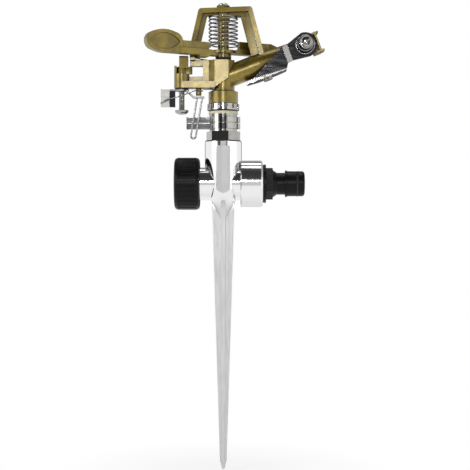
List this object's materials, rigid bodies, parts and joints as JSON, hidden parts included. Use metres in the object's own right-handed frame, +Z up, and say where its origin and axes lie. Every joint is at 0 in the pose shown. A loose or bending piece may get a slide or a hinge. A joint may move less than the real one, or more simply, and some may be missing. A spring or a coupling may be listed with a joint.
{
  "type": "impact sprinkler on a ground spike",
  "caption": "Impact sprinkler: a sprung hammer arm and trip gear on a turning cast head, over a cross tube with a hose connector and a capped end, on a crossed-blade ground spike.",
  "frame": {"origin": "on the spike's axis at its shoulder, where the blades meet the cross tube's casting and the soil surface lies", "axes": "+Z up the spike towards the head, +X towards the hose connector, -Y towards the viewer's side, where the breaker screw's head faces"},
  "size_m": [0.1159, 0.0435, 0.3023],
  "materials": {
    "satin_zinc": "satin die-cast zinc, polished on the riser",
    "bright_chrome": "bright plated steel",
    "spring_steel": "drawn bright wire",
    "gold_enamel": "gold metallic paint on a zinc casting",
    "sleeve_brass": "turned",
    "black_plastic": "moulded, fine grained",
    "black_rubber": "matt",
    "cream_plastic": "turned, semi-matt"
  },
  "bodies": {
    "stand": {"spike_base": "satin_zinc", "inlet_connector": "black_plastic", "inlet_gasket": "black_rubber", "connector_o_ring": "black_rubber", "riser_gasket": "black_rubber", "bearing_nipple": "bright_chrome", "bearing_spring": "spring_steel", "slip_washer": "cream_plastic", "thrust_washer": "cream_plastic"},
    "cap_seal": {"cap_gasket": "black_rubber"},
    "cap": {"end_cap": "black_plastic"},
    "collar_lower": {"friction_collar_lower": "bright_chrome"},
    "collar_upper": {"friction_collar_upper": "bright_chrome"},
    "head": {"head_casting": "gold_enamel", "bearing_sleeve": "sleeve_brass", "seal_washer": "black_rubber", "top_washer": "black_rubber", "packing_nut": "bright_chrome", "nozzle": "bright_chrome", "jet_bracket": "bright_chrome", "bracket_rivet": "bright_chrome", "fulcrum_pin": "spring_steel", "arm_spring": "spring_steel", "stop_pin": "gold_enamel"},
    "arm": {"hammer_arm": "gold_enamel", "arm_washer": "black_rubber"},
    "trip": {"trip_dog": "gold_enamel", "trip_screw": "bright_chrome", "trip_spacer": "black_rubber", "trip_lever": "bright_chrome", "trip_wire": "spring_steel", "trip_spring": "spring_steel"},
    "breaker_seat": {"breaker_spring": "spring_steel"},
    "breaker": {"breaker_screw": "bright_chrome", "breaker_washer": "bright_chrome"}
  },
  "joints": [
    {"name": "cap_travel", "type": "slide", "parent": "stand", "child": "cap_seal", "axis": [-1, 0, 0], "range_m": [0, 0.00907]},
    {"name": "cap_turn", "type": "hinge", "parent": "cap_seal", "child": "cap", "pos_m": [-0.0235, 0, 0.0115], "axis": [-1, 0, 0], "range_deg": [0, 1800]},
    {"name": "collar_lower_turn", "type": "hinge", "parent": "stand", "child": "collar_lower", "pos_m": [0, 0, 0.0488], "axis": [0, 0, 1], "range_deg": [-300, 0]},
    {"name": "collar_upper_turn", "type": "hinge", "parent": "stand", "child": "collar_upper", "pos_m": [0, 0, 0.053], "axis": [0, 0, 1], "range_deg": [-300, 0]},
    {"name": "head_spin", "type": "hinge", "parent": "stand", "child": "head", "pos_m": [0, 0, 0.0635], "axis": [0, 0, 1], "range_deg": [0, 300]},
    {"name": "arm_swing", "type": "hinge", "parent": "head", "child": "arm", "pos_m": [0, 0, 0.0963], "axis": [0, 0, 1], "range_deg": [0, 100], "stiffness_Nm_per_rad": 0.01, "springref_deg": -28.65},
    {"name": "trip_swing", "type": "hinge", "parent": "head", "child": "trip", "pos_m": [-0.0268, -0.004, 0.0822], "axis": [0, 0, 1], "range_deg": [-25, 0], "deforming": ["trip_spring"]},
    {"name": "breaker_turn", "type": "hinge", "parent": "head", "child": "breaker_seat", "pos_m": [0.05265, -0.0121, 0.10011], "axis": [0, 1, 0], "range_deg": [0, 1080]},
    {"name": "breaker_travel", "type": "slide", "parent": "breaker_seat", "child": "breaker", "axis": [0, 1, 0], "range_m": [0, 0.0021], "deforming": ["breaker_spring"]}
  ],
  "couplings": [
    {"joint": "cap_travel", "follows": "cap_turn", "m_per_rad": 0.00028871},
    {"joint": "breaker_travel", "follows": "breaker_turn", "m_per_rad": 0.00011141}
  ]
}
